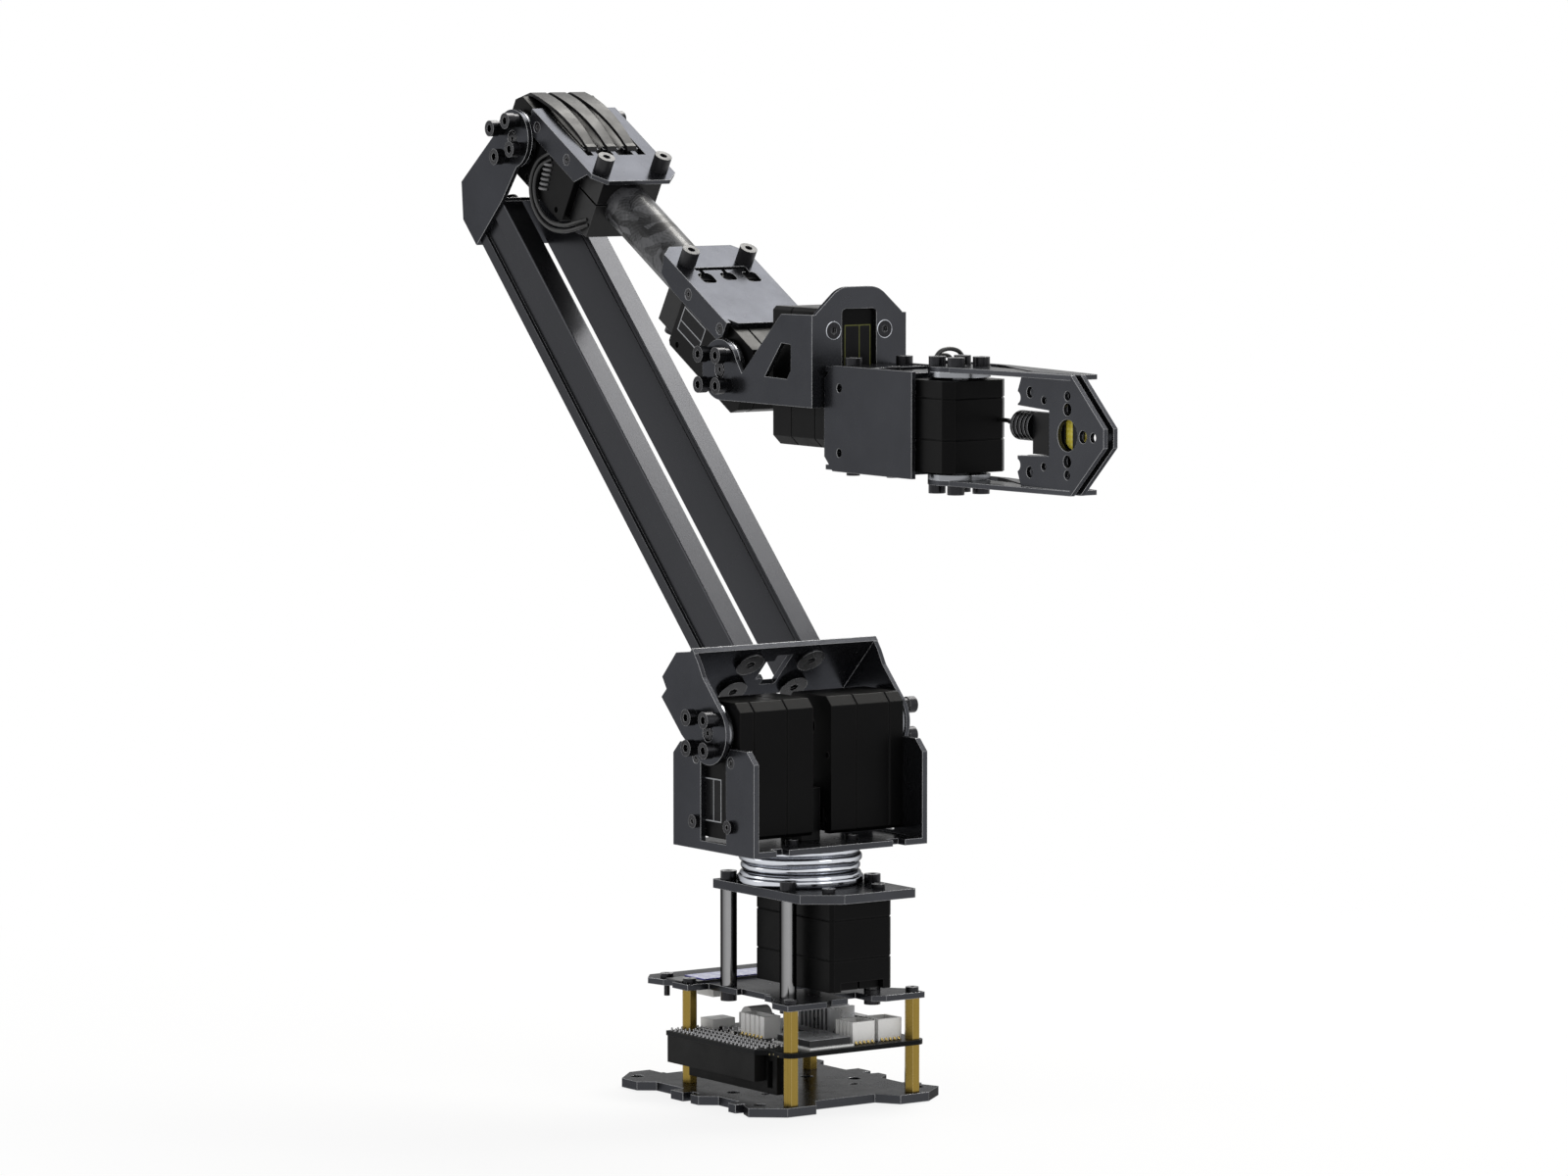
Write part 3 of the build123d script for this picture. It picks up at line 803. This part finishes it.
def jaw_plate():
    """A jaw's flat face, with the lamp notch at its back and its pattern of holes."""
    half, notch = JAW_HALF, JAW_BACK + NOTCH_DEEP
    outline = [(JAW_BACK + 2.5, half), (JAW_CORNER, half), (JAW_TIP, JAW_TIP_HALF), (JAW_TIP, -JAW_TIP_HALF),
               (JAW_CORNER, -half), (JAW_BACK + 2.5, -half), (JAW_BACK, -half + 6),
               (JAW_BACK, -NOTCH_LOW - 0.7), (notch, -NOTCH_LOW), (notch, NOTCH_HIGH),
               (JAW_BACK, NOTCH_HIGH + 0.9), (JAW_BACK, half - 6)]
    plate = slab(HAND, outline, 0, JAW_THICK)
    holes = [(JAW_EYE, 0, JAW_EYE_RADIUS), (JAW_EYE + 7.9, 0, 2.0), (JAW_EYE + 13.0, 0, 1.5)]
    for side in (-1, 1):
        holes += [(JAW_EYE, side * 12.3, 1.5), (JAW_EYE, side * 8.1, 2.0),
                  (JAW_BACK + 6.3, side * 12.5, 1.75), (JAW_BACK + 13.4, side * 10.4, 1.25)]
        plate -= rod(HAND, JAW_BACK - 0.6, side * 10.6, -1, JAW_THICK + 1, 2.0)
    for x, z, radius in holes:
        plate -= rod(HAND, x, z, -1, JAW_THICK + 1, radius)
    return plate


def jaw_arms(side, root, outline):
    """The top and bottom arms of a jaw; outline is its plan with y measured away from the gap."""
    arms = None
    for up in (-1, 1):
        low, high = sorted((up * HORN_OUT, up * JAW_HALF))
        arm = slab(HAND_PLAN, [(x, side * y) for x, y in outline], low, high)
        if root:
            arm += rod(HAND_PLAN, 0, 0, low, high, HORN_RADIUS)
        arms = arm if arms is None else arms + arm
    return arms


def build_tool():
    half, low, high = CHANNEL_HALF, ROLL_Z - CHANNEL_TALL / 2, ROLL_Z + CHANNEL_TALL / 2
    back, end = CHANNEL_BACK, GRIP_X - CHANNEL_SHORT
    hood_x = back + HOOD_SCREW_X
    channel = block(FLAT, (back, back + EAR), (-half, half), (low + 4.4, high - 4.4))
    cheek = [(back, low + 4.6), (back + 4.6, low), (end, low), (end, high),
             (back + 4.6, high), (back, high - 4.6)]
    inner = half - EAR
    case_low, case_high = ROLL_Z - SERVO_HALF, ROLL_Z + SERVO_HALF
    for side in (-1, 1):
        channel += slab(TOOL, cheek, *sorted((side * inner, side * half)))
        for z in (-11.0, 9.9):
            across = sorted((side * (inner - 1), side * (half + 1)))
            channel -= rod(TOOL, back + 8.2, ROLL_Z + z, *across, 1.4)
    for up in (-1, 1):
        face = case_high if up > 0 else case_low
        tab = sorted((face, face + up * EAR))
        channel += block(FLAT, (GRIP_X - TAB_BACK, GRIP_X - TAB_FRONT), (-half, half), tab)
        hood = sorted((ROLL_Z + up * (CHANNEL_TALL / 2 - 0.4), ROLL_Z + up * (CHANNEL_TALL / 2 - 0.4 - EAR)))
        channel += block(FLAT, [back + reach for reach in CHANNEL_HOOD], (-half, half), hood)
    screws = []
    frame = ROLL_SERVO
    for x, y in square(HORN_SQUARE):
        channel -= hole(frame, x, y, SERVO_HALF, SERVO_HALF + 8, M3_SHANK)
        screws.append(m3(frame, x, y, HORN_OUT + EAR, EAR + HORN_THICK))
    channel -= rod(frame, 0, 0, SERVO_HALF, SERVO_HALF + 8, M2_HEAD / 2 + 0.6)
    screws.append(m2(frame, 0, 0, HORN_OUT, HORN_THICK + 1.5))
    upside = FLAT * Rot(180, 0, 0)
    for side in (-1, 1):
        for hold, seat in ((FLAT, case_high + EAR), (upside, -case_low + EAR)):
            channel -= hole(hold, GRIP_X - TAB_SCREW, side * 9.0, seat - EAR - 0.5, seat + 1, M2_SHANK)
            screws.append(m2(hold, GRIP_X - TAB_SCREW, side * 9.0, seat, EAR))
        top = high - 0.4
        channel -= hole(FLAT, hood_x, side * HOOD_SCREW_Y, top - EAR - 1, top + 1, M3_SHANK)
        screws.append(m3(FLAT, hood_x, side * HOOD_SCREW_Y, top, EAR + 2.0))
        channel -= hole(upside, hood_x, side * HOOD_SCREW_Y, -low - 0.4 - EAR - 1, -low + 1, M2_SHANK)
        screws.append(m2(upside, hood_x, side * HOOD_SCREW_Y, -low - 0.4, EAR + 1.0))
    save("tool_channel", channel)
    save("roll_horn", horn(ROLL_SERVO, 1))
    save("gripper_servo", *servo(GRIP_SERVO))
    save("tool_screws", *screws)


def build_jaws():
    gap = JAW_GAP / 2
    near = Pos(0, -gap + JAW_THICK, 0) * jaw_plate()
    far = Pos(0, gap, 0) * jaw_plate()
    reach = [(-4, 9.165), (JAW_CORNER, gap), (JAW_CORNER, gap - JAW_THICK),
             (JAW_BACK + 2.5, gap - JAW_THICK), (23, -4), (9, -4.4), (0, -9.9)]
    near += jaw_arms(-1, True, reach)
    for up in (1, -1):
        face = GRIP_SERVO if up > 0 else GRIP_SERVO * Rot(180, 0, 0)
        near -= ear_holes(face, HORN_OUT - 1, HORN_OUT + 5)
    save("moving_jaw", near)
    outer = CHANNEL_HALF + EAR
    sweep = [(-TAB_BACK, CHANNEL_HALF), (-TAB_BACK, outer), (5, outer), (31, 12.4), (JAW_CORNER, 7.6),
             (JAW_CORNER, gap - JAW_THICK), (JAW_BACK + 2.5, gap - JAW_THICK), (25, 5.0),
             (8, CHANNEL_HALF - 2), (1, CHANNEL_HALF)]
    fixed = far + jaw_arms(1, False, sweep)
    web = [(-TAB_BACK, -JAW_HALF), (-7, -JAW_HALF), (-7, JAW_HALF), (-TAB_BACK, JAW_HALF)]
    fixed += slab(HAND, web, -outer, -CHANNEL_HALF)
    save("fixed_jaw", fixed)
    lamp = HAND * Rot(0, 90, 0)
    sink_end = LAMP_X + LAMP_LONG
    sink = rod(lamp, 0, LAMP_LIFT, LAMP_X, sink_end, LAMP_RADIUS)
    for rib in range(4):
        x = LAMP_X + 1.2 + rib * 2.0
        sink -= (rod(lamp, 0, LAMP_LIFT, x, x + 0.9, LAMP_RADIUS + 1)
                 - rod(lamp, 0, LAMP_LIFT, x, x + 0.9, LAMP_RADIUS - 0.8))
    save("lamp_heatsink", sink)
    deep = (-gap + JAW_THICK, 2.5)
    save("lamp_housing", block(HAND, (sink_end, JAW_BACK + NOTCH_DEEP - 0.5),
                               (-NOTCH_LOW + 0.2, NOTCH_HIGH - 0.9), deep))
    save("lamp_led", rod(HAND, JAW_EYE, 0.8, deep[0], deep[0] + 1.0, JAW_EYE_RADIUS + 0.5))
    save("gripper_horns", horn(GRIP_SERVO, 1), horn(GRIP_SERVO, -1))
    save("gripper_horn_screws", *horn_screws(GRIP_SERVO, 1, JAW_HALF, 0),
         *horn_screws(GRIP_SERVO, -1, JAW_HALF, 0))
    tab = ROLL_Z + SERVO_HALF + EAR
    loops = []
    for x, middle, size in ((GRIP_X - 12.6, 5.3, 1.0), (GRIP_X - 15.4, 4.7, 0.72)):
        route = [(-6.0, 0.0), (-6.0, 3.6), (-3.8, 6.6), (0.2, 7.5), (4.2, 6.4), (6.2, 3.4), (6.2, 0.0)]
        points = [Vector(x, middle + y * size, tab + z * size) for y, z in route]
        loops.append(cable("gripper_cable", points, LEAD))
    save("gripper_cable", *loops)
    route = [(SERVO_NEAR, 8.4, 1.9), (SERVO_NEAR + 3.2, 8.4, 1.9), (SERVO_NEAR + 8.6, 6.6, 2.0),
             (LAMP_X - 8.4, 1.4, 2.3), (LAMP_X - 3.6, -0.8, 2.5), (LAMP_X, -0.8, 2.5)]
    save("lamp_cable", cable("lamp_cable", [Vector(GRIP_X + x, y, ROLL_Z + z) for x, y, z in route], LEAD))


def main():
    build_base()
    build_turret()
    build_upper_arm()
    build_forearm()
    build_wrist()
    build_tool()
    build_jaws()


if __name__ == "__main__":
    main()
